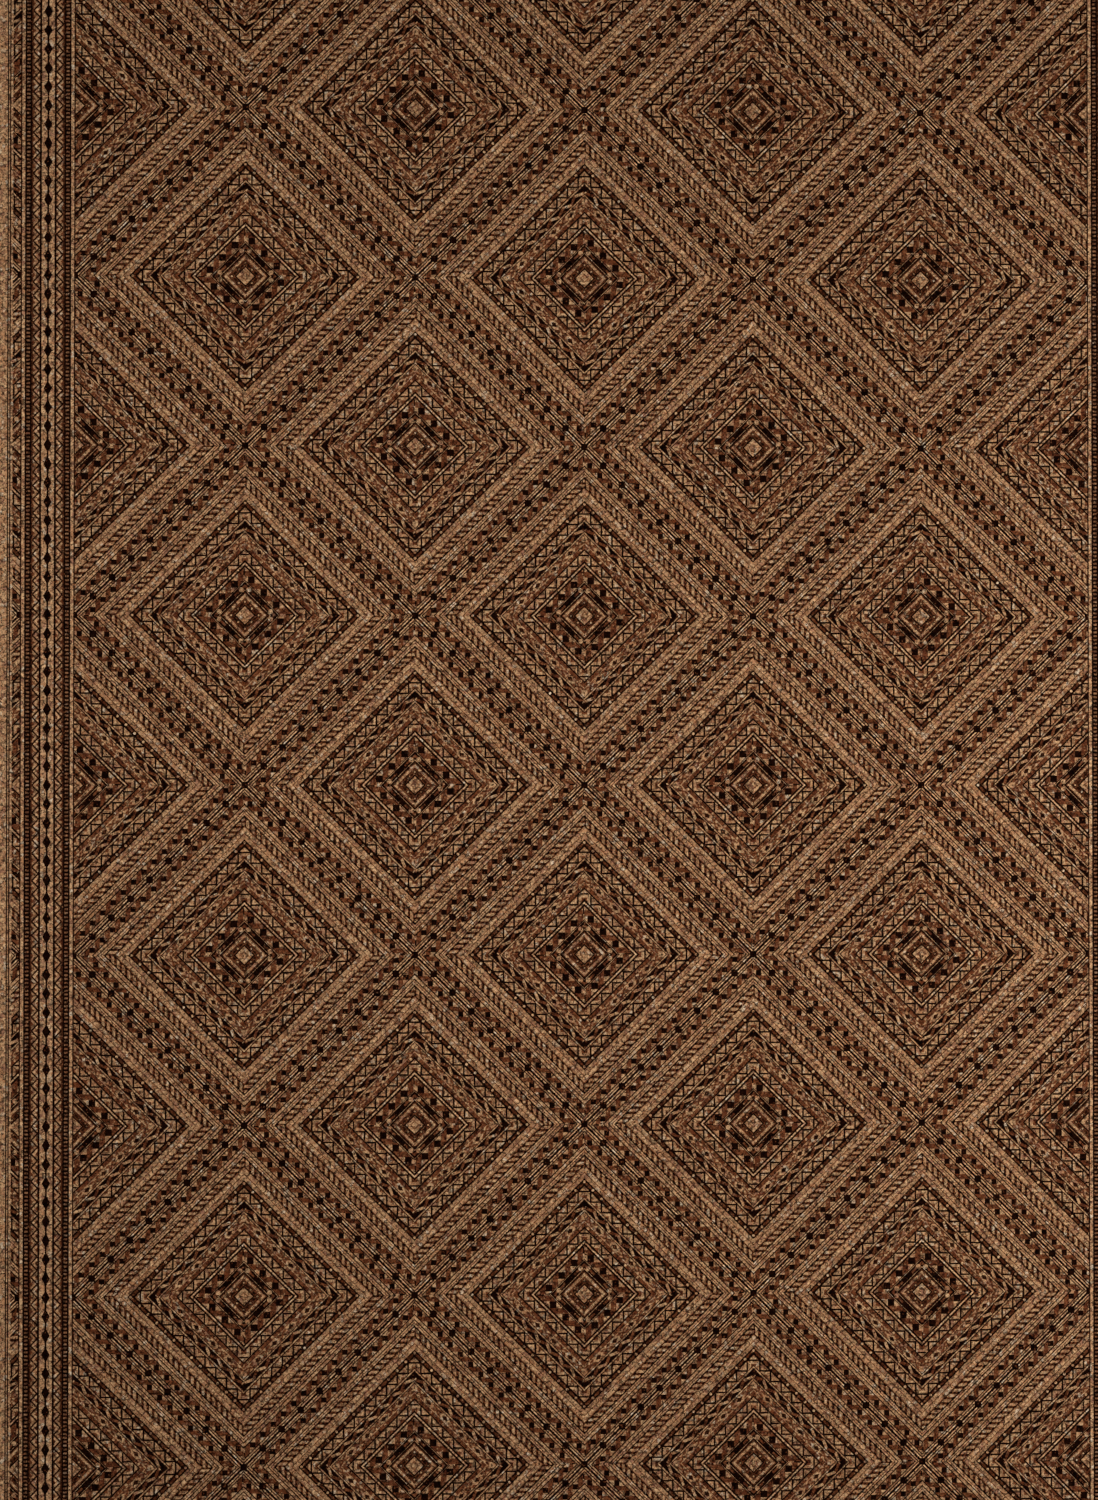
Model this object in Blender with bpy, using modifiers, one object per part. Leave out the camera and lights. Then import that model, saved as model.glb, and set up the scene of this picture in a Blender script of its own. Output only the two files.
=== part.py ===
"""Cork rug: one flat sheet of printed cork that lies on a floor.

Metres, +Z up. The origin is the middle of the underside, +X runs across the rug and +Y along it.
The sheet is sized from its print: whole lozenge repeats, a border band round them, and a bare margin.
"""

import bmesh
import bpy

LOZENGE_REPEAT = 0.400  # one repeat of the printed lozenges, the same both ways
REPEATS_ACROSS = 3
REPEATS_ALONG = 5
BORDER_WIDTH = 0.078  # the printed bands that frame the lozenges
BARE_MARGIN = 0.022  # unprinted cork between the border and the cut edge

THICKNESS = 0.003  # cork face and its backing, bonded into one sheet
CORNER_RADIUS = 0.004
CORNER_STEPS = 5
EDGE_EASING = 0.0005  # the wear-softened top and bottom edges of the cut
EASING_STEPS = 2

FRAME_WIDTH = 2 * (BORDER_WIDTH + BARE_MARGIN)
RUG_WIDTH = REPEATS_ACROSS * LOZENGE_REPEAT + FRAME_WIDTH
RUG_LENGTH = REPEATS_ALONG * LOZENGE_REPEAT + FRAME_WIDTH

CORK_COLOUR = (0.24, 0.125, 0.062, 1.0)
CORK_ROUGHNESS = 0.72
MERGE_DISTANCE = 0.00001


def clear_scene():
    """Removes whatever the opened file holds, so that only the rug is left."""
    for thing in list(bpy.data.objects):
        bpy.data.objects.remove(thing, do_unlink=True)


def cork_material():
    """Matt printed cork, in the print's average brown."""
    material = bpy.data.materials.new("printed cork")
    material.use_nodes = True
    shader = material.node_tree.nodes["Principled BSDF"]
    shader.inputs["Base Color"].default_value = CORK_COLOUR
    shader.inputs["Roughness"].default_value = CORK_ROUGHNESS
    shader.inputs["Metallic"].default_value = 0.0
    return material


def sheet_mesh():
    """A slab of the rug's outline, its underside at height 0 and its four corners rounded."""
    cut = bmesh.new()
    bmesh.ops.create_cube(cut, size=1.0)
    bmesh.ops.scale(cut, verts=cut.verts, vec=(RUG_WIDTH, RUG_LENGTH, THICKNESS))
    bmesh.ops.translate(cut, verts=cut.verts, vec=(0.0, 0.0, THICKNESS / 2))
    corners = [edge for edge in cut.edges if is_upright(edge)]
    bmesh.ops.bevel(
        cut,
        geom=corners,
        affect="EDGES",
        offset=CORNER_RADIUS,
        offset_type="OFFSET",
        segments=CORNER_STEPS,
        profile=0.5,
    )
    mesh = bpy.data.meshes.new("cork_sheet")
    cut.to_mesh(mesh)
    cut.free()
    return mesh


def is_upright(edge):
    """True for an edge that stands along Z, one at each corner of the slab."""
    run = edge.verts[1].co - edge.verts[0].co
    return abs(run.z) > THICKNESS / 2


def add_cork_sheet(collection):
    """The whole rug: the slab with its cut edges eased."""
    sheet = bpy.data.objects.new("cork_sheet", sheet_mesh())
    collection.objects.link(sheet)
    sheet.data.materials.append(cork_material())
    easing = sheet.modifiers.new("eased edges", "BEVEL")
    easing.width = EDGE_EASING
    easing.segments = EASING_STEPS
    easing.limit_method = "ANGLE"
    easing.angle_limit = 1.0
    weld = sheet.modifiers.new("closed seams", "WELD")
    weld.merge_threshold = MERGE_DISTANCE
    return sheet


def main():
    """Builds the rug in a collection of its own."""
    clear_scene()
    collection = bpy.data.collections.new("cork rug")
    bpy.context.scene.collection.children.link(collection)
    add_cork_sheet(collection)


main()
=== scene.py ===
"""Printed cork rug, dressed: the cork sheet with its whole print, a pale floor and a camera straight above.

Metres, +Z up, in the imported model's frame. The print is charted in steps, 340 to one lozenge repeat.
"""

import logging
from dataclasses import dataclass, field
from enum import Enum
from typing import Iterable, Union

import bmesh
import bpy
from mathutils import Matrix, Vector, noise


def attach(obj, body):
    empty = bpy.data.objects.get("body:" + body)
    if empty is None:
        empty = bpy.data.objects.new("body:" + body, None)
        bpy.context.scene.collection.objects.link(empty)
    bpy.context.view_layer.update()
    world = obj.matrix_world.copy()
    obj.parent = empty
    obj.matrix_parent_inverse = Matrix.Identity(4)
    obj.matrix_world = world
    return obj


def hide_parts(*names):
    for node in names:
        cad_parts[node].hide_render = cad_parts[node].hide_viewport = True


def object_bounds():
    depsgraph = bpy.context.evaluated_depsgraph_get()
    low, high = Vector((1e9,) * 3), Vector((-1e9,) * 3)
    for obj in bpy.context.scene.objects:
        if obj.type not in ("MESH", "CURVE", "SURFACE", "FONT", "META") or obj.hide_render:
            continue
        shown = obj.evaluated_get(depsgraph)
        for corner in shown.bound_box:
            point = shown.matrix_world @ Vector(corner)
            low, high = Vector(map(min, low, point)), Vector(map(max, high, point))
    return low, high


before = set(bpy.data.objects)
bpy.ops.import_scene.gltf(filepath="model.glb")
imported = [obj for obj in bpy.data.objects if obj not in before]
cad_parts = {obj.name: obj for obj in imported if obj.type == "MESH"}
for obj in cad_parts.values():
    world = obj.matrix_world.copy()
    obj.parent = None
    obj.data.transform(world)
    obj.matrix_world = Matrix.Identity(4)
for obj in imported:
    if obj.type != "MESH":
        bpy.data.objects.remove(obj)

CAD_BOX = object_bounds()
LOG = logging.getLogger("cork_rug")

REPEAT = 0.4  # one repeat of the printed lozenges, the same both ways
REPEATS_ACROSS = 3
REPEATS_ALONG = 5
STEPS_PER_REPEAT = 340.0


class Ink(Enum):
    """The print's tones: -1 is a pale wash, 0 bare cork, 1 brown, 2 umber and 3 black."""

    CHALK = -1.0
    CREAM = -0.4
    MILK = -0.25
    CORK = 0.0
    SAND = 0.15
    BLUSH = 0.5
    RUST = 0.7
    BROWN = 1.0
    RUSSET = 1.3
    PEAT = 1.6
    UMBER = 2.0
    BLACK = 3.0


class Wire:
    """A number that the shader works out at each point. Arithmetic on it adds Math nodes."""

    def __init__(self, board: "Board", socket: bpy.types.NodeSocket) -> None:
        """Keeps the node tree's board and the socket that gives the number."""
        self.board = board
        self.socket = socket

    def __add__(self, other: "Number") -> "Wire":
        """Sum."""
        return self.board.math("ADD", self, other)

    def __sub__(self, other: "Number") -> "Wire":
        """Difference."""
        return self.board.math("SUBTRACT", self, other)

    def __rsub__(self, other: float) -> "Wire":
        """A plain number less this one."""
        return self.board.math("SUBTRACT", other, self)

    def __mul__(self, other: "Number") -> "Wire":
        """Product."""
        return self.board.math("MULTIPLY", self, other)

    def __abs__(self) -> "Wire":
        """Size without sign."""
        return self.board.math("ABSOLUTE", self)

    def __lt__(self, limit: "Number") -> "Wire":
        """Mask of the points where this is under the limit."""
        return self.board.math("LESS_THAN", self, limit)

    def __gt__(self, limit: "Number") -> "Wire":
        """Mask of the points where this is over the limit."""
        return self.board.math("GREATER_THAN", self, limit)

    def __and__(self, other: "Wire") -> "Wire":
        """Mask of the points in both masks."""
        return self.board.math("MULTIPLY", self, other)

    def within(self, start: float, end: float) -> "Wire":
        """Mask of the points where this lies from start to end."""
        return self.board.math("COMPARE", self, (start + end) / 2, (end - start) / 2)

    def wrapped(self, pitch: float) -> "Wire":
        """Signed distance to the nearest whole number of pitches."""
        return self.board.math("WRAP", self, pitch / 2, -pitch / 2)

    def folded(self, pitch: float) -> "Wire":
        """Distance to the nearest whole number of pitches."""
        return self.board.math("PINGPONG", self, pitch / 2)

    def sign(self) -> "Wire":
        """Minus one, zero or one."""
        return self.board.math("SIGN", self)

    def most(self, other: "Number") -> "Wire":
        """The larger of two numbers."""
        return self.board.math("MAXIMUM", self, other)

    def least(self, other: "Number") -> "Wire":
        """The smaller of two numbers."""
        return self.board.math("MINIMUM", self, other)


Number = Union[Wire, float]
Colour = tuple[float, float, float, float]
Point = tuple[float, float, float]
Span = tuple[float, float]
Halves = tuple[float, float]
Stripe = tuple[float, float, Ink]


class Board:
    """A material's node tree, with short calls for the nodes that the finishes use."""

    def __init__(self, name: str) -> None:
        """Makes the material and empties its node tree.

        Args:
            name: the material's name.
        """
        self.material = bpy.data.materials.new(name)
        self.material.use_nodes = True
        self.tree = self.material.node_tree
        self.tree.nodes.clear()

    def add(self, kind: str, **settings: object) -> bpy.types.Node:
        """Adds a node and sets its options.

        Args:
            kind: the node's type name.
            settings: the node's own properties.

        Returns:
            The new node.
        """
        node = self.tree.nodes.new(kind)
        for key, value in settings.items():
            setattr(node, key, value)
        return node

    def feed(self, socket: bpy.types.NodeSocket, value: object) -> None:
        """Links a wire or a socket to an input, or sets a plain value on it.

        Args:
            socket: the node's input.
            value: a wire, a socket, a number or a colour.
        """
        if isinstance(value, Wire):
            value = value.socket
        if isinstance(value, bpy.types.NodeSocket):
            self.tree.links.new(value, socket)
        else:
            socket.default_value = value

    def math(self, operation: str, *terms: Number) -> Wire:
        """Adds one Math node.

        Args:
            operation: the node's operation.
            terms: one to three numbers or wires.

        Returns:
            The result.
        """
        node = self.add("ShaderNodeMath", operation=operation)
        for socket, term in zip(node.inputs, terms):
            self.feed(socket, term)
        return Wire(self, node.outputs[0])

    def blend(self, share: Number, first: Number, second: Number) -> Wire:
        """Mixes two numbers.

        Args:
            share: 0 for the first number, 1 for the second.
            first: a number or wire.
            second: a number or wire.

        Returns:
            The mix.
        """
        node = self.add("ShaderNodeMix", data_type="FLOAT")
        for socket, term in zip((node.inputs[0], node.inputs[2], node.inputs[3]), (share, first, second)):
            self.feed(socket, term)
        return Wire(self, node.outputs[0])

    def tint(
        self, share: Number, first: object, second: object, blend_type: str = "MIX"
    ) -> bpy.types.NodeSocket:
        """Mixes two colours.

        Args:
            share: 0 for the first colour, 1 for the second.
            first: a colour or colour socket.
            second: a colour or colour socket.
            blend_type: the Mix node's blend type.

        Returns:
            The mixed colour's socket.
        """
        node = self.add("ShaderNodeMix", data_type="RGBA", blend_type=blend_type)
        for socket, term in zip((node.inputs[0], node.inputs[6], node.inputs[7]), (share, first, second)):
            self.feed(socket, term)
        return node.outputs[2]

    def spread(self, value: Wire, low: float, high: float, start: float = 0.0, end: float = 1.0) -> Wire:
        """Maps a range of values on another one, and holds the result inside it.

        Args:
            value: the number that is mapped.
            low: the value that gives start.
            high: the value that gives end.
            start: the result at low.
            end: the result at high.

        Returns:
            The mapped number.
        """
        node = self.add("ShaderNodeMapRange", clamp=True)
        for socket, term in zip(node.inputs, (value, low, high, start, end)):
            self.feed(socket, term)
        return Wire(self, node.outputs[0])

    def split(self, vector: bpy.types.NodeSocket) -> tuple[Wire, Wire, Wire]:
        """Takes a vector or a colour apart.

        Args:
            vector: the vector's or colour's socket.

        Returns:
            Its three numbers.
        """
        node = self.add("ShaderNodeSeparateXYZ")
        self.feed(node.inputs[0], vector)
        return Wire(self, node.outputs[0]), Wire(self, node.outputs[1]), Wire(self, node.outputs[2])

    def join(self, x: Number, y: Number, z: Number = 0.0) -> bpy.types.NodeSocket:
        """Puts a vector together.

        Args:
            x: its first number.
            y: its second number.
            z: its third number.

        Returns:
            The vector's socket.
        """
        node = self.add("ShaderNodeCombineXYZ")
        for socket, term in zip(node.inputs, (x, y, z)):
            self.feed(socket, term)
        return node.outputs[0]

    def shader(self, roughness: float) -> bpy.types.Node:
        """Adds the surface shader and the material's output.

        Args:
            roughness: the surface's roughness.

        Returns:
            The shader's node.
        """
        shader = self.add("ShaderNodeBsdfPrincipled")
        shader.inputs["Roughness"].default_value = roughness
        output = self.add("ShaderNodeOutputMaterial")
        self.feed(output.inputs["Surface"], shader.outputs[0])
        return shader


class Impression:
    """The print as it builds up: one tone for each point, laid over what was there."""

    def __init__(self, board: Board) -> None:
        """Starts with bare cork all over."""
        self.board = board
        self.tone: Number = Ink.CORK.value

    def lay(self, ink: Ink, mask: Wire) -> None:
        """Prints an ink inside a mask."""
        self.tone = self.board.blend(mask, self.tone, ink.value)

    def stripes(self, measure: Wire, rows: Iterable[Stripe]) -> None:
        """Prints plain stripes.

        Args:
            measure: the distance that the stripes are counted along.
            rows: each stripe's start, end and ink.
        """
        for start, end, ink in rows:
            self.lay(ink, measure.within(start, end))


class Row:
    """A row of motifs along a straight band: where a point lies from the nearest motif's middle."""

    def __init__(self, out: Wire, along: Wire, middle: float, pitch: float, shift: float = 0.0) -> None:
        """Works out the two offsets, in steps of a level or upright line.

        Args:
            out: the distance out from the lozenge's centre.
            along: the distance along the side.
            middle: the row's own distance out.
            pitch: from one motif to the next.
            shift: where one motif's middle lies along the side.
        """
        self.away = (out - middle) * 0.5
        self.past = (along - shift).wrapped(pitch) if shift else along.wrapped(pitch)

    def square(self, half: float) -> Wire:
        """Mask of a square with level and upright sides."""
        return (abs(self.away) + abs(self.past)) < half

    def slab(self, across: float, lengthwise: float) -> Wire:
        """Mask of a bar that lies along the band."""
        return (abs(self.away) < across) & (abs(self.past) < lengthwise)

    def oval(self, across: float, lengthwise: float) -> Wire:
        """Mask of an ellipse that lies along the band."""
        flat = self.away * (lengthwise / across)
        return (flat * flat + self.past * self.past) < (lengthwise * lengthwise)

    def dot(self, radius: float) -> Wire:
        """Mask of a round dot."""
        return (self.away * self.away + self.past * self.past) < (radius * radius / 2)

    def spindle(self, across: float, lengthwise: float) -> Wire:
        """Mask of a pointed diamond that lies along the band."""
        return (abs(self.away) * (1 / across) + abs(self.past) * (1 / lengthwise)) < 1.0


@dataclass(frozen=True)
class Chequer:
    """Rows of cork and black squares on brown, level on two sides of a lozenge and upright on the others."""

    band: Span
    middle: float  # where a black square lies, counted outwards
    pitch: float  # from one row to the next
    shift: float  # where one row lies, counted level or upright from the centre
    half: float  # half of a square's side

    def draw(self, press: Impression, out: Wire, turned: Wire) -> None:
        """Prints the chequer.

        Args:
            press: the impression that takes the inks.
            out: the distance out from the lozenge's centre.
            turned: the distance along the side, which runs the other way on every second side.
        """
        off_row = (out * 0.5 - turned - self.shift).wrapped(self.pitch)
        row = abs(off_row) < self.half
        press.lay(Ink.CORK, out.within(*self.band) & row)
        square = abs(out - self.middle - off_row) < self.half
        press.lay(Ink.BLACK, row & square)


@dataclass(frozen=True)
class Stair:
    """A stepped line with a nested triangle on each side of every step."""

    foot: float  # where the line's inner corners lie, counted outwards
    step: float  # from one inner corner to the next
    band: Span
    line: float = 1.75  # half of the line's width
    inner_leaf: float = -7.3  # how far from the line an inner triangle ends
    outer_leaf: float = 6.0  # how far from the line an outer triangle starts

    def draw(self, press: Impression, out: Wire, along: Wire) -> None:
        """Prints the stair.

        Args:
            press: the impression that takes the inks.
            out: the distance out from the lozenge's centre.
            along: the distance along the side.
        """
        here = out.within(*self.band)
        beyond = out - self.foot - along.folded(self.step) * 2.0
        press.lay(Ink.BROWN, here & (beyond < self.inner_leaf))
        press.lay(Ink.BLUSH, here & (beyond > self.outer_leaf))
        press.lay(Ink.BLACK, here & (abs(beyond) < self.line))


@dataclass(frozen=True)
class LozengePrint:
    """The lozenge repeat, charted outwards from a lozenge's centre to the lattice between lozenges.

    Every place is in steps. A stripe is its start, its end and its ink, and a later one covers an earlier.
    The halves of a motif are half its size across the band and half its size along it.
    """

    half: float = STEPS_PER_REPEAT / 2

    heart_stripes: tuple[Stripe, ...] = (
        (2.9, 4.9, Ink.RUST),
        (8.9, 10.8, Ink.BLACK),
        (10.8, 18.0, Ink.RUSSET),
        (21.4, 22.9, Ink.RUSSET),
        (22.9, 25.0, Ink.BLACK),
        (25.8, 28.1, Ink.BLACK),
        (28.1, 31.0, Ink.BROWN),
        (31.0, 33.8, Ink.BLACK),
        (34.4, 35.6, Ink.UMBER),
        (35.6, 48.5, Ink.BROWN),
    )
    ring_stripes: tuple[Stripe, ...] = (
        (48.3, 50.9, Ink.BLACK),
        (51.3, 52.4, Ink.CHALK),
        (53.0, 55.5, Ink.BLACK),
        (65.5, 67.8, Ink.BLACK),
        (67.5, 72.5, Ink.BROWN),
        (73.6, 81.6, Ink.BROWN),
        (81.7, 83.0, Ink.UMBER),
        (84.6, 94.9, Ink.BLACK),
        (96.6, 98.1, Ink.UMBER),
        (108.0, 115.9, Ink.BLACK),
        (115.9, 120.4, Ink.SAND),
        (121.2, 122.4, Ink.BROWN),
        (122.9, 125.4, Ink.CREAM),
        (128.0, 129.3, Ink.BROWN),
    )
    rail_stripes: tuple[Stripe, ...] = (
        (129.3, 130.3, Ink.BLACK),
        (138.2, 140.0, Ink.BLACK),
        (141.2, 143.8, Ink.CHALK),
        (141.9, 143.2, Ink.BROWN),
        (145.0, 146.5, Ink.UMBER),
        (150.0, 151.9, Ink.BLACK),
        (151.5, 162.1, Ink.BROWN),
        (161.7, 163.4, Ink.BLACK),
        (165.15, 166.8, Ink.UMBER),
        (167.0, 168.4, Ink.CHALK),
        (168.45, 171.0, Ink.BLACK),
    )

    seed_middle: float = 13.4
    seed_pitch: float = 6.8
    seed: Halves = (0.8, 1.5)
    eye_shade: float = 1.8
    eye_light: float = 1.05
    blob_middle: float = 29.4
    blob_along: float = 10.9
    blob_radius: float = 2.35
    block_middle: float = 29.7
    block: Halves = (2.0, 4.6)

    heart_chequer: Chequer = Chequer(band=(35.6, 48.5), middle=41.7, pitch=12.5, shift=10.4, half=3.4)
    rail_chequer: Chequer = Chequer(band=(151.6, 162.0), middle=156.7, pitch=10.17, shift=9.0, half=2.66)
    inner_stair: Stair = Stair(foot=56.6, step=10.87, band=(55.4, 65.3))
    outer_stair: Stair = Stair(foot=98.3, step=10.7, band=(97.9, 108.0))

    rivet_middle: float = 69.7
    rivet_pitch: float = 12.35
    rivet_radius: float = 1.35

    flower_middle: float = 77.4
    flower_pitch: float = 16.3
    flower_band: Span = (73.3, 81.8)
    flower_reach: float = 4.95
    flower_eye: Halves = (1.65, 2.75)
    cross_notch: float = 0.65
    cross_slope: float = 0.78
    cross_bar_half: float = 0.55
    cross_bar_gap: float = 1.1

    ribbon_inner: float = 86.9
    ribbon_outer: float = 92.3
    ribbon_pitch: float = 12.1
    ribbon_half: float = 2.05
    ribbon_end: float = 43.2
    ribbon_band: Span = (85.6, 93.6)

    bead_middle: float = 112.3
    bead_pitch: float = 8.65
    bead: Halves = (0.9, 3.05)
    pearl_radius: float = 1.35

    brick_band: Span = (122.3, 128.4)
    brick_pitch: float = 8.3
    brick_middle: float = 125.4
    brick_bulge: float = 0.4
    brick_joint: float = 0.28

    bar_band: Span = (129.6, 139.0)
    bar_pitch: float = 5.32
    bar_shift: float = 3.1
    bar_half: float = 1.35
    bar_middle: float = 134.3
    bar_feet: float = 2.7
    bar_knot: float = 0.9

    rail_dot_middle: float = 142.0
    rail_dot_pitch: float = 14.3
    rail_dot_radius: float = 1.0

    lattice_square_pitch: float = STEPS_PER_REPEAT / 18
    lattice_square_half: float = 3.4

    def draw(self, press: Impression, across: Wire, length: Wire) -> None:
        """Prints the lozenge that each point belongs to.

        Args:
            press: the impression that takes the inks.
            across: the point's place across the rug, in steps.
            length: the point's place along the rug, in steps.
        """
        # The distances along the two diagonals fold the whole lattice on to the nearest lozenge.
        repeat = 2 * self.half
        rising = (across + length + self.half).wrapped(repeat)
        falling = (across - length + self.half).wrapped(repeat)
        side_x = (rising + falling) * 0.5
        side_y = (rising - falling) * 0.5
        reach_x = abs(side_x)
        reach_y = abs(side_y)
        out = reach_x + reach_y
        along = (reach_x - reach_y) * 0.5
        turned = along * (side_x * side_y).sign()
        press.stripes(out, self.heart_stripes)
        self.draw_heart(press, out, along)
        self.heart_chequer.draw(press, out, turned)
        press.stripes(out, self.ring_stripes)
        self.inner_stair.draw(press, out, along)
        rivets = Row(out, along, self.rivet_middle, self.rivet_pitch, self.rivet_pitch / 2)
        press.lay(Ink.CORK, rivets.dot(self.rivet_radius))
        self.draw_flowers(press, out, along)
        self.draw_ribbon(press, out, turned)
        self.outer_stair.draw(press, out, along)
        self.draw_beads(press, out, along)
        self.draw_bricks(press, out, turned)
        self.draw_bars(press, out, turned)
        press.stripes(out, self.rail_stripes)
        self.draw_lattice(press, out, along, turned)

    def draw_heart(self, press: Impression, out: Wire, along: Wire) -> None:
        """A ring of seeds and eyes at the centre, round blobs by the corners and four solid blocks.

        Args:
            press: the impression that takes the inks.
            out: the distance out from the lozenge's centre.
            along: the distance along the side.
        """
        seeds = Row(out, along, self.seed_middle, self.seed_pitch, self.seed_pitch / 2)
        press.lay(Ink.UMBER, seeds.oval(*self.seed))
        eyes = Row(out, along, self.seed_middle, self.seed_pitch)
        press.lay(Ink.BLACK, eyes.dot(self.eye_shade))
        press.lay(Ink.CORK, eyes.dot(self.eye_light))
        blobs = Row(out, abs(along), self.blob_middle, STEPS_PER_REPEAT, self.blob_along)
        press.lay(Ink.CORK, blobs.dot(self.blob_radius))
        blocks = Row(out, along, self.block_middle, STEPS_PER_REPEAT)
        press.lay(Ink.BLACK, blocks.slab(*self.block))

    def draw_flowers(self, press: Impression, out: Wire, along: Wire) -> None:
        """Cork flowers with dark eyes on brown, with a cross between each two.

        Args:
            press: the impression that takes the inks.
            out: the distance out from the lozenge's centre.
            along: the distance along the side.
        """
        here = out.within(*self.flower_band)
        crosses = Row(out, along, self.flower_middle, self.flower_pitch)
        notches = abs(crosses.away) > abs(crosses.past) * self.cross_slope + self.cross_notch
        press.lay(Ink.CORK, here & notches)
        flowers = Row(out, along, self.flower_middle, self.flower_pitch, self.flower_pitch / 2)
        bars = (abs(crosses.away) < self.cross_bar_half) & (abs(crosses.past) > self.cross_bar_gap)
        press.lay(Ink.BLUSH, bars & here)
        press.lay(Ink.CORK, here & flowers.square(self.flower_reach))
        press.lay(Ink.UMBER, flowers.spindle(*self.flower_eye))

    def draw_ribbon(self, press: Impression, out: Wire, turned: Wire) -> None:
        """A zigzag ribbon on black that is cork on one run and brown on the next.

        Args:
            press: the impression that takes the inks.
            out: the distance out from the lozenge's centre.
            turned: the distance along the side, which runs the other way on every second side.
        """
        here = turned.wrapped(self.ribbon_pitch)
        slope = (self.ribbon_inner - self.ribbon_outer) / (self.ribbon_pitch / 2)
        course = abs(here) * slope + self.ribbon_outer
        ribbon = (abs(out - course) < self.ribbon_half) & out.within(*self.ribbon_band)
        ribbon = ribbon & (abs(turned) < self.ribbon_end)
        press.lay(Ink.BROWN, ribbon)
        press.lay(Ink.CORK, ribbon & (here > 0.0))

    def draw_beads(self, press: Impression, out: Wire, along: Wire) -> None:
        """Long beads and pearls by turns on black.

        Args:
            press: the impression that takes the inks.
            out: the distance out from the lozenge's centre.
            along: the distance along the side.
        """
        beads = Row(out, along, self.bead_middle, self.bead_pitch)
        press.lay(Ink.RUSSET, beads.oval(*self.bead))
        pearls = Row(out, along, self.bead_middle, self.bead_pitch, self.bead_pitch / 2)
        press.lay(Ink.CREAM, pearls.dot(self.pearl_radius))

    def draw_bricks(self, press: Impression, out: Wire, turned: Wire) -> None:
        """Long bare bricks with rounded ends.

        Args:
            press: the impression that takes the inks.
            out: the distance out from the lozenge's centre.
            turned: the distance along the side, which runs the other way on every second side.
        """
        away = (out - self.brick_middle) * 0.5
        joint = (turned + away * away * self.brick_bulge).folded(self.brick_pitch) < self.brick_joint
        press.lay(Ink.UMBER, joint & out.within(*self.brick_band))

    def draw_bars(self, press: Impression, out: Wire, turned: Wire) -> None:
        """Cork bars on brown, upright on two sides and level on the other two, with dark knots between.

        Args:
            press: the impression that takes the inks.
            out: the distance out from the lozenge's centre.
            turned: the distance along the side, which runs the other way on every second side.
        """
        here = out.within(*self.bar_band)
        press.lay(Ink.BROWN, here)
        press.lay(Ink.BLACK, here & (abs(out - self.bar_middle) > self.bar_feet))
        press.lay(Ink.UMBER, out.within(self.bar_middle - self.bar_knot, self.bar_middle + self.bar_knot))
        bar = (out * 0.5 + turned - self.bar_shift).folded(self.bar_pitch) < self.bar_half
        press.lay(Ink.CORK, bar & here)

    def draw_lattice(self, press: Impression, out: Wire, along: Wire, turned: Wire) -> None:
        """Dots on the rail, the squares beside the lattice line and the larger squares on it.

        Args:
            press: the impression that takes the inks.
            out: the distance out from the lozenge's centre.
            along: the distance along the side.
            turned: the distance along the side, which runs the other way on every second side.
        """
        rail_dots = Row(out, along, self.rail_dot_middle, self.rail_dot_pitch)
        press.lay(Ink.RUSSET, rail_dots.dot(self.rail_dot_radius))
        self.rail_chequer.draw(press, out, turned)
        squares = Row(out, along, self.half, self.lattice_square_pitch, self.lattice_square_pitch / 2)
        press.lay(Ink.BLACK, squares.square(self.lattice_square_half))


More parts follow.
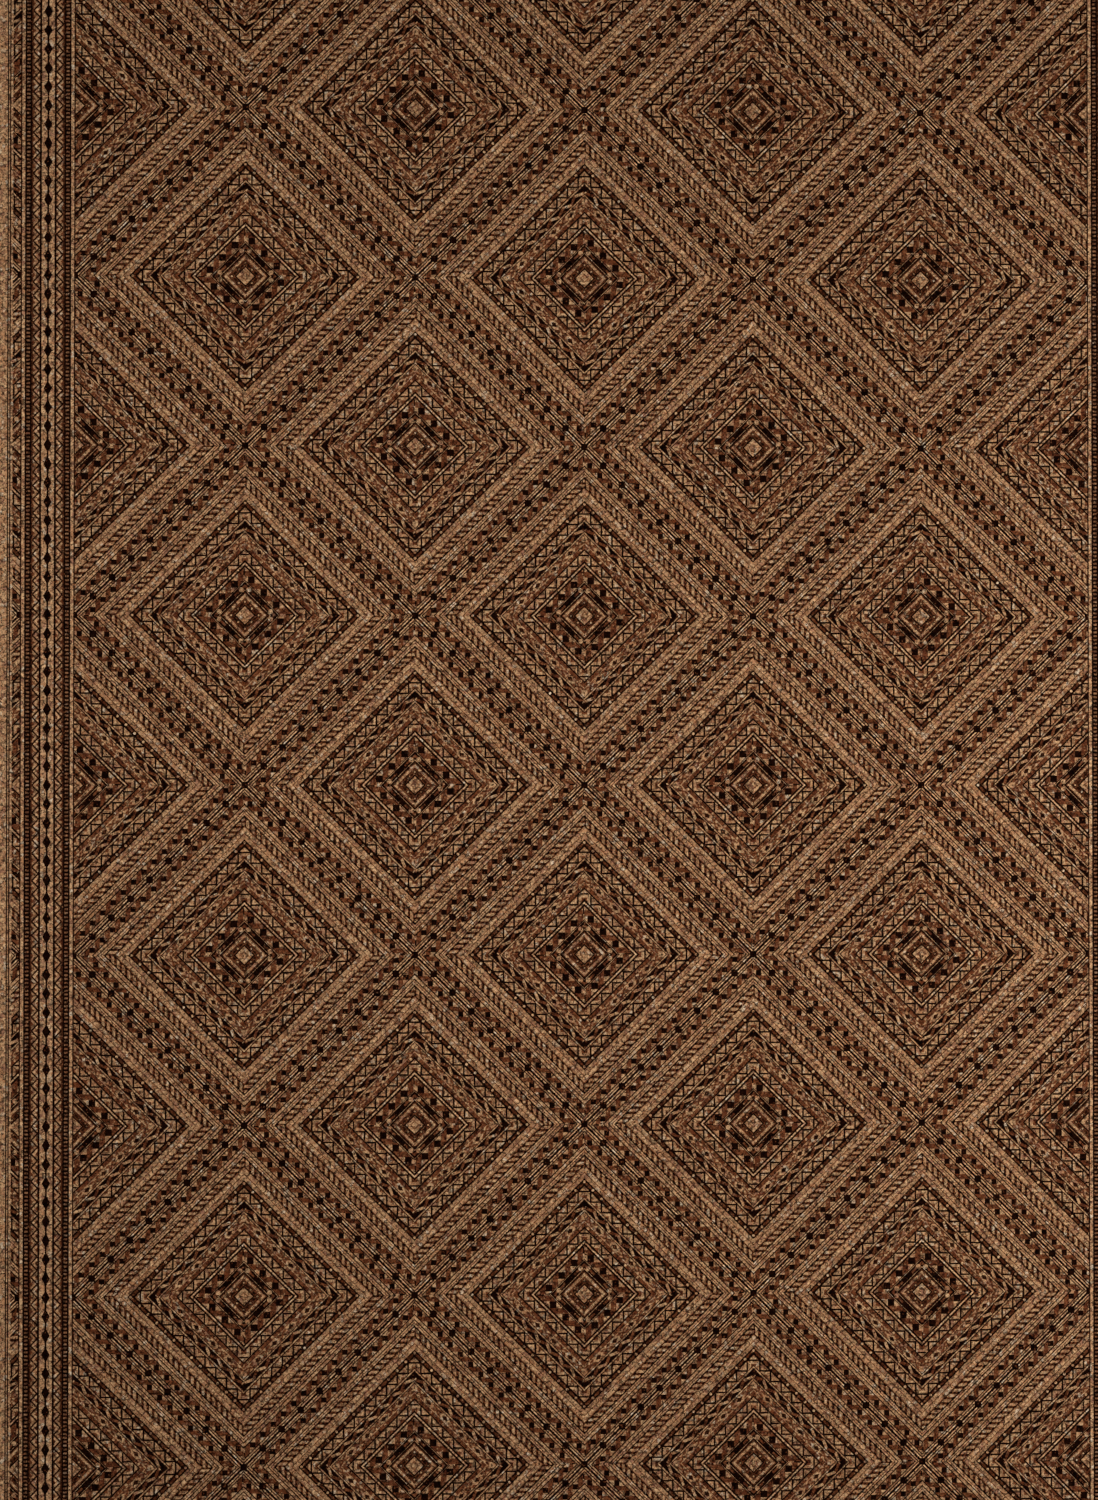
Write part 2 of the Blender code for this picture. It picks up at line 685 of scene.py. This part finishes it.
@dataclass(frozen=True)
class BorderPrint:
    """The banded frame, charted outwards from the edge of the lozenges and mirrored at the corners.

    The first stripes are counted from the border's middle both ways, the edge stripes from the lozenges.
    Between echo_start and echo_end the border shows the first steps of the lozenges' edge once more.
    """

    middle: float = 26.6
    echo_start: float = 53.8
    echo_end: float = 61.5
    stripes: tuple[Stripe, ...] = (
        (6.35, 8.35, Ink.BLACK),
        (8.35, 14.4, Ink.CREAM),
        (14.1, 16.2, Ink.PEAT),
        (16.2, 22.9, Ink.BLACK),
        (22.9, 25.8, Ink.CREAM),
        (25.8, 27.2, Ink.UMBER),
    )
    edge_stripes: tuple[Stripe, ...] = (
        (61.5, 63.45, Ink.CREAM),
        (63.45, 64.7, Ink.UMBER),
        (65.75, 66.95, Ink.BLACK),
    )
    chain_pitch: float = STEPS_PER_REPEAT / 18
    chain_half: float = 4.2
    chain_reach: float = 7.8
    chain_thread: float = 0.9
    zigzag_pitch: float = STEPS_PER_REPEAT / 25
    zigzag_start: float = 8.3
    zigzag_end: float = 14.8
    zigzag_line: float = 1.15
    zigzag_inset: float = 4.1
    rung_pitch: float = STEPS_PER_REPEAT / 88
    rung_start: float = 17.8
    rung_end: float = 21.2
    rung_half: float = 0.9

    def draw(self, press: Impression, out: Wire, along: Wire) -> None:
        """Prints the border over whatever the lozenges left outside their edge.

        Args:
            press: the impression that takes the inks.
            out: the distance out from the edge of the lozenges, in steps.
            along: the distance past the nearer corner of the lozenges, in steps.
        """
        press.lay(Ink.MILK, out.within(0.0, self.echo_start))
        press.lay(Ink.MILK, out > self.echo_end)
        off = abs(out - self.middle)
        press.stripes(off, self.stripes)
        self.draw_chain(press, off, along)
        self.draw_zigzag(press, off, along)
        rungs = (along.folded(self.rung_pitch) < self.rung_half) & off.within(self.rung_start, self.rung_end)
        press.lay(Ink.RUST, rungs)
        press.stripes(out, self.edge_stripes)

    def draw_chain(self, press: Impression, off: Wire, along: Wire) -> None:
        """A chain of black diamonds on a thread, down the border's middle.

        Args:
            press: the impression that takes the inks.
            off: the distance from the border's middle, in steps.
            along: the distance past the nearer corner of the lozenges, in steps.
        """
        spacing = along.folded(self.chain_pitch)
        width = self.chain_half - spacing * (self.chain_half / self.chain_reach)
        press.lay(Ink.BLACK, off < width.most(self.chain_thread))

    def draw_zigzag(self, press: Impression, off: Wire, along: Wire) -> None:
        """A zigzag line with a nested triangle in each bay.

        Args:
            press: the impression that takes the inks.
            off: the distance from the border's middle, in steps.
            along: the distance past the nearer corner of the lozenges, in steps.
        """
        here = off.within(self.zigzag_start, self.zigzag_end)
        depth = self.zigzag_end - self.zigzag_start
        course = along.folded(self.zigzag_pitch) * (2 * depth / self.zigzag_pitch) + self.zigzag_start
        beyond = off - course
        press.lay(Ink.SAND, here & (beyond > 0.0))
        beyond = abs(beyond)
        press.lay(Ink.BROWN, here & (beyond > self.zigzag_inset))
        press.lay(Ink.UMBER, here & (beyond < self.zigzag_line))


@dataclass(frozen=True)
class PrintedCork:
    """Bonded cork with the rug's print on its upper face."""

    repeat: float
    half_across: float
    half_length: float

    face_slope: float = 0.7  # how far up a face has to look to take the print
    smudge: float = 0.3
    smudge_size: float = 1.9
    smudge_detail: float = 1.0
    granule_size: float = 3.0
    granule_bend: float = 2.4
    crumb_size: float = 1.15
    straw: Colour = (0.475, 0.279, 0.139, 1.0)
    ruddy: Colour = (0.315, 0.141, 0.062, 1.0)
    rosy: Colour = (0.242, 0.107, 0.060, 1.0)
    pale: Colour = (0.480, 0.355, 0.238, 1.0)
    bark: Colour = (0.045, 0.020, 0.010, 1.0)
    rosy_share: float = 0.35  # of the granules
    pale_share: float = 0.10  # of the granules
    bark_share: float = 0.05  # of the crumbs
    crack_start: float = 0.55
    crack_end: float = 0.72
    crack_depth: float = 0.7
    missed_share: float = 0.04  # of the crumbs
    missed: float = 0.55  # how much of the ink such a crumb misses
    crumb_dark: float = 0.37
    crumb_light: float = 1.46
    crumb_height: float = 0.5
    chalk_wash: Colour = (1.38, 1.46, 1.54, 1.0)
    brown_ink: Colour = (0.315, 0.181, 0.142, 1.0)
    umber_ink: Colour = (0.062, 0.031, 0.022, 1.0)
    black_ink: Colour = (0.021, 0.009, 0.006, 1.0)
    clear: Colour = (1.0, 1.0, 1.0, 1.0)
    roughness: float = 0.72
    gloss: float = 0.01
    relief_strength: float = 0.5
    relief: float = 0.0004
    lozenges: LozengePrint = field(default_factory=LozengePrint)
    border: BorderPrint = field(default_factory=BorderPrint)

    def make(self) -> bpy.types.Material:
        """Wires the whole finish.

        Returns:
            The material.
        """
        board = Board("printed cork")
        place = board.add("ShaderNodeTexCoord").outputs["Object"]
        x, y, z = board.split(place)
        steps = STEPS_PER_REPEAT / self.repeat
        across = x * steps
        length = y * steps
        height = z * steps
        smear_x, smear_y = self.smear(board, across, length)
        cork, grain, bare = self.cork(board, across + height, length + height, smear_x, smear_y)
        tone = self.impression(board, across + smear_x * self.smudge, length + smear_y * self.smudge)
        facing = board.split(board.add("ShaderNodeNewGeometry").outputs["True Normal"])[2]
        taken = (facing > self.face_slope) * (1.0 - bare * self.missed)
        shader = board.shader(self.roughness)
        board.feed(shader.inputs["Base Color"], self.inked(board, cork, tone * taken))
        shader.inputs["Specular IOR Level"].default_value = self.gloss
        bump = board.add("ShaderNodeBump")
        bump.inputs["Strength"].default_value = self.relief_strength
        bump.inputs["Distance"].default_value = self.relief
        board.feed(bump.inputs["Height"], grain)
        board.feed(shader.inputs["Normal"], bump.outputs[0])
        return board.material

    def smear(self, board: Board, across: Wire, length: Wire) -> tuple[Wire, Wire]:
        """A small uneven push that bends the granules and frays the print's edges.

        Args:
            board: the node tree.
            across: the place across the rug, in steps.
            length: the place along the rug, in steps.

        Returns:
            The push across and the push along, each from about -0.5 to 0.5.
        """
        cloud = board.add("ShaderNodeTexNoise", noise_dimensions="2D")
        board.feed(cloud.inputs["Vector"], board.join(across, length))
        cloud.inputs["Scale"].default_value = 1 / self.smudge_size
        cloud.inputs["Detail"].default_value = self.smudge_detail
        push_x, push_y, _ = board.split(cloud.outputs["Color"])
        return push_x - 0.5, push_y - 0.5

    def chips(self, board: Board, across: Wire, length: Wire, size: float) -> tuple[Wire, Wire, Wire]:
        """A mosaic of chips, each with its own random numbers.

        Args:
            board: the node tree.
            across: the place across the rug, in steps.
            length: the place along the rug, in steps.
            size: the chips' size, in steps.

        Returns:
            Two random numbers for each chip, and the distance from its middle.
        """
        mosaic = board.add("ShaderNodeTexVoronoi", voronoi_dimensions="2D", feature="F1")
        board.feed(mosaic.inputs["Vector"], board.join(across, length))
        mosaic.inputs["Scale"].default_value = 1 / size
        first, second, _ = board.split(mosaic.outputs["Color"])
        return first, second, Wire(board, mosaic.outputs["Distance"])

    def cork(
        self, board: Board, across: Wire, length: Wire, push_x: Wire, push_y: Wire
    ) -> tuple[bpy.types.NodeSocket, Wire, Wire]:
        """Granules of bonded cork filled with finer crumbs, some pale and some of dark bark.

        Args:
            board: the node tree.
            across: the place across the rug, in steps.
            length: the place along the rug, in steps.
            push_x: the push across that bends the granules.
            push_y: the push along that bends the granules.

        Returns:
            The cork's colour, the height of its grain and the mask of the crumbs that take no ink.
        """
        bent_x = across + push_x * self.granule_bend
        bent_y = length + push_y * self.granule_bend
        shade, kind, middle = self.chips(board, bent_x, bent_y, self.granule_size)
        crumb, speck, _ = self.chips(board, across, length, self.crumb_size)
        colour = board.tint(shade, self.ruddy, self.straw)
        colour = board.tint(board.spread(kind, self.rosy_share, 0.0), colour, self.rosy)
        colour = board.tint(board.spread(kind, 1.0 - self.pale_share, 1.0), colour, self.pale)
        crack = board.spread(middle, self.crack_start, self.crack_end, 0.0, self.crack_depth)
        light = board.spread(crumb, 0.0, 1.0, self.crumb_dark, self.crumb_light) * (1.0 - crack)
        colour = board.tint(1.0, colour, board.join(light, light, light), "MULTIPLY")
        bark = speck < self.bark_share
        colour = board.tint(bark, colour, self.bark)
        grain = crumb * self.crumb_height - middle - bark
        return colour, grain, speck > 1.0 - self.missed_share

    def impression(self, board: Board, across: Wire, length: Wire) -> Wire:
        """Works out how dark the print is at each point.

        Args:
            board: the node tree.
            across: the smeared place across the rug, in steps.
            length: the smeared place along the rug, in steps.

        Returns:
            The tone, as Ink counts it.
        """
        step = self.repeat / STEPS_PER_REPEAT
        past_side = abs(across) - self.half_across / step
        past_end = abs(length) - self.half_length / step
        out = past_side.most(past_end)
        beside = past_side.least(past_end)
        # In the echo strip a point is pulled back to the lozenges' edge, straight across the border.
        pull = out.within(self.border.echo_start, self.border.echo_end) * self.border.echo_start
        across = across - across.sign() * pull * (past_side > past_end)
        length = length - length.sign() * pull * (past_end > past_side)
        press = Impression(board)
        self.lozenges.draw(press, across, length)
        self.border.draw(press, out, beside)
        return press.tone

    def inked(self, board: Board, cork: bpy.types.NodeSocket, tone: Wire) -> bpy.types.NodeSocket:
        """Lets the cork show through each ink as far as that ink does.

        Args:
            board: the node tree.
            cork: the bare cork's colour.
            tone: the print's tone.

        Returns:
            The printed colour.
        """
        film = self.chalk_wash
        for paler, darker, ink in (
            (Ink.CHALK, Ink.CORK, self.clear),
            (Ink.CORK, Ink.BROWN, self.brown_ink),
            (Ink.BROWN, Ink.UMBER, self.umber_ink),
            (Ink.UMBER, Ink.BLACK, self.black_ink),
        ):
            film = board.tint(board.spread(tone, paler.value, darker.value), film, ink)
        return board.tint(1.0, cork, film, "MULTIPLY")


def mesh_piece(name: str, shape: bmesh.types.BMesh, material: bpy.types.Material) -> bpy.types.Object:
    """Turns a finished shape into an object of the scene.

    Args:
        name: the object's name.
        shape: the shape, which is freed.
        material: the finish of all its faces.

    Returns:
        The object.
    """
    mesh = bpy.data.meshes.new(name)
    shape.to_mesh(mesh)
    shape.free()
    mesh.materials.append(material)
    piece = bpy.data.objects.new(name, mesh)
    bpy.context.scene.collection.objects.link(piece)
    return piece


@dataclass
class RugSheet:
    """The sheet itself: 3 mm of cork with eased edges and small round corners, lying almost flat."""

    width: float
    length: float
    thickness: float
    finish: PrintedCork
    corner_radius: float = 0.004
    corner_steps: int = 5
    cells_across: int = 70
    cells_along: int = 110
    easing: float = 0.0005
    easing_steps: int = 2
    easing_angle: float = 1.0
    unevenness: float = 0.0005
    wave_size: float = 0.45
    curl: float = 0.0016
    curl_reach: float = 0.10
    level_slope: float = 0.3  # how far up or down a face of the upper or lower side looks
    face_share: float = 0.9  # of the map, for the printed face
    underside_share: float = 0.08  # of the map
    strip_margin: float = 0.02  # of a cut edge's strip, left free at each end
    rim_margin: float = 0.2  # of a cut edge's strip, left free above and below

    def build(self) -> bpy.types.Object:
        """Models the sheet and dresses it.

        Returns:
            The rug's object, which rides on the root body.
        """
        sheet = bmesh.new()
        self.cut(sheet)
        self.ease(sheet)
        self.map_faces(sheet)
        for vert in sheet.verts:
            vert.co.z += self.lift(vert.co)
        rug = mesh_piece("cork_rug_sheet", sheet, self.finish.make())
        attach(rug, "root")
        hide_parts("cork_sheet")
        return rug

    def cut(self, sheet: bmesh.types.BMesh) -> None:
        """Cuts the slab: a fine grid with round corners, raised to the sheet's thickness.

        Args:
            sheet: the empty shape that takes the slab.
        """
        bmesh.ops.create_grid(sheet, x_segments=self.cells_across, y_segments=self.cells_along, size=0.5)
        bmesh.ops.scale(sheet, verts=sheet.verts, vec=(self.width, self.length, 1.0))
        bmesh.ops.bevel(
            sheet,
            geom=[vert for vert in sheet.verts if len(vert.link_faces) == 1],
            affect="VERTICES",
            offset=self.corner_radius,
            offset_type="OFFSET",
            segments=self.corner_steps,
            profile=0.5,
            material=-1,
        )
        raised = bmesh.ops.extrude_face_region(sheet, geom=list(sheet.faces))["geom"]
        upper = [part for part in raised if isinstance(part, bmesh.types.BMVert)]
        bmesh.ops.translate(sheet, verts=upper, vec=(0.0, 0.0, self.thickness))
        bmesh.ops.recalc_face_normals(sheet, faces=sheet.faces)

    def ease(self, sheet: bmesh.types.BMesh) -> None:
        """Softens the upper and lower rims of the cut.

        Args:
            sheet: the slab.
        """
        rims = [edge for edge in sheet.edges if edge.calc_face_angle(0.0) > self.easing_angle]
        bmesh.ops.bevel(
            sheet,
            geom=rims,
            affect="EDGES",
            offset=self.easing,
            offset_type="OFFSET",
            segments=self.easing_steps,
            profile=0.5,
            material=-1,
        )

    def map_faces(self, sheet: bmesh.types.BMesh) -> None:
        """Lays the faces out on a map named OFBake, most of it for the printed face.

        Args:
            sheet: the slab, while it is still flat.
        """
        sheet.normal_update()
        layer = sheet.loops.layers.uv.new("OFBake")
        for face in sheet.faces:
            for loop in face.loops:
                loop[layer].uv = self.map_place(face.normal, loop.vert.co)

    def map_place(self, normal: Vector, place: Vector) -> tuple[float, float]:
        """Where a corner of a face lies on the map.

        Args:
            normal: the face's outward direction.
            place: the corner, on the flat sheet.

        Returns:
            The two map coordinates.
        """
        across = place.x / self.width + 0.5
        along = place.y / self.length + 0.5
        if normal.z > self.level_slope:
            return across, 1.0 - self.face_share * (1.0 - along)
        if normal.z < -self.level_slope:
            return across, self.underside_share * along
        faces_sideways = abs(normal.x) > abs(normal.y)
        run = along if faces_sideways else across
        side = (1 if normal.x > 0 else 0) if faces_sideways else (3 if normal.y > 0 else 2)
        strip = 1.0 - self.face_share - self.underside_share
        rise = self.rim_margin + (1.0 - 2 * self.rim_margin) * place.z / self.thickness
        run = self.strip_margin + (1.0 - 2 * self.strip_margin) * run
        return (side + run) / 4, self.underside_share + strip * rise

    def lift(self, place: Vector) -> float:
        """How far the sheet stands off the floor at a place, most at the corners.

        Args:
            place: a point of the flat sheet.

        Returns:
            The lift, which is never below the floor.
        """
        wave = noise.noise(Vector((place.x / self.wave_size, place.y / self.wave_size, 0.0)))
        from_side = self.width / 2 - abs(place.x)
        from_end = self.length / 2 - abs(place.y)
        nearness = max(0.0, 1.0 - (from_side + from_end) / (2 * self.curl_reach))
        return self.unevenness * (0.5 + 0.5 * wave) + self.curl * nearness * nearness


@dataclass
class Studio:
    """Pale floor, an even sky with two soft lamps, and the camera over the rug."""

    floor_side: float = 60.0
    floor_drop: float = 0.0002
    floor_colour: Colour = (0.72, 0.71, 0.69, 1.0)
    floor_roughness: float = 0.6
    sky_colour: Colour = (1.0, 1.0, 1.0, 1.0)
    sky: float = 0.24
    lamp_side: float = 0.7
    right_lamp: Point = (1.396, -0.165, 1.837)
    right_watts: float = 36.3
    left_lamp: Point = (-0.634, 0.247, 1.70)
    left_watts: float = 12.9
    camera_place: Point = (-0.09192, 0.02456, 2.12892)
    camera_turn: Point = (0.00798, -0.02355, 0.0002)
    lens_heights: float = 1.2  # the focal length, in heights of the frame
    sensor: float = 36.0
    nearest: float = 0.05

    def build(self) -> None:
        """Makes the floor, the light and the camera."""
        self.floor()
        self.light()
        self.camera()

    def floor(self) -> None:
        """A plain pale floor just under the rug."""
        ground = bmesh.new()
        bmesh.ops.create_grid(ground, x_segments=1, y_segments=1, size=self.floor_side / 2)
        bmesh.ops.translate(ground, verts=ground.verts, vec=(0.0, 0.0, -self.floor_drop))
        board = Board("pale floor")
        board.shader(self.floor_roughness).inputs["Base Color"].default_value = self.floor_colour
        mesh_piece("floor", ground, board.material)

    def light(self) -> None:
        """An even sky and two soft lamps that face straight down, the stronger one on the right."""
        world = bpy.data.worlds.new("studio")
        world.use_nodes = True
        sky = world.node_tree.nodes["Background"]
        sky.inputs["Color"].default_value = self.sky_colour
        sky.inputs["Strength"].default_value = self.sky
        bpy.context.scene.world = world
        self.lamp("right lamp", self.right_lamp, self.right_watts)
        self.lamp("left lamp", self.left_lamp, self.left_watts)
        bpy.context.scene.view_settings.view_transform = "Standard"

    def lamp(self, name: str, place: Point, watts: float) -> None:
        """A square soft lamp that faces straight down.

        Args:
            name: the lamp's name.
            place: its middle.
            watts: its power.
        """
        light = bpy.data.lights.new(name, "AREA")
        light.shape = "SQUARE"
        light.size = self.lamp_side
        light.energy = watts
        stand = bpy.data.objects.new(name, light)
        stand.location = place
        bpy.context.scene.collection.objects.link(stand)

    def camera(self) -> None:
        """The camera, whose frame is taken to be 1098 by 1500."""
        lens = bpy.data.cameras.new("camera")
        lens.sensor_fit = "VERTICAL"
        lens.sensor_height = self.sensor
        lens.lens = self.sensor * self.lens_heights
        lens.clip_start = self.nearest
        view = bpy.data.objects.new("camera", lens)
        view.location = self.camera_place
        view.rotation_euler = self.camera_turn
        bpy.context.scene.collection.objects.link(view)
        bpy.context.scene.camera = view


def main() -> None:
    """Builds the rug and the studio, in order."""
    logging.basicConfig(level=logging.INFO, format="%(message)s")
    low, high = CAD_BOX
    finish = PrintedCork(
        repeat=REPEAT,
        half_across=REPEAT * REPEATS_ACROSS / 2,
        half_length=REPEAT * REPEATS_ALONG / 2,
    )
    width, length, thickness = (high[axis] - low[axis] for axis in range(3))
    rug = RugSheet(width, length, thickness, finish).build()
    LOG.info("%s: %d faces", rug.name, len(rug.data.polygons))
    Studio().build()
    LOG.info("studio ready")


if __name__ == "__main__":
    main()
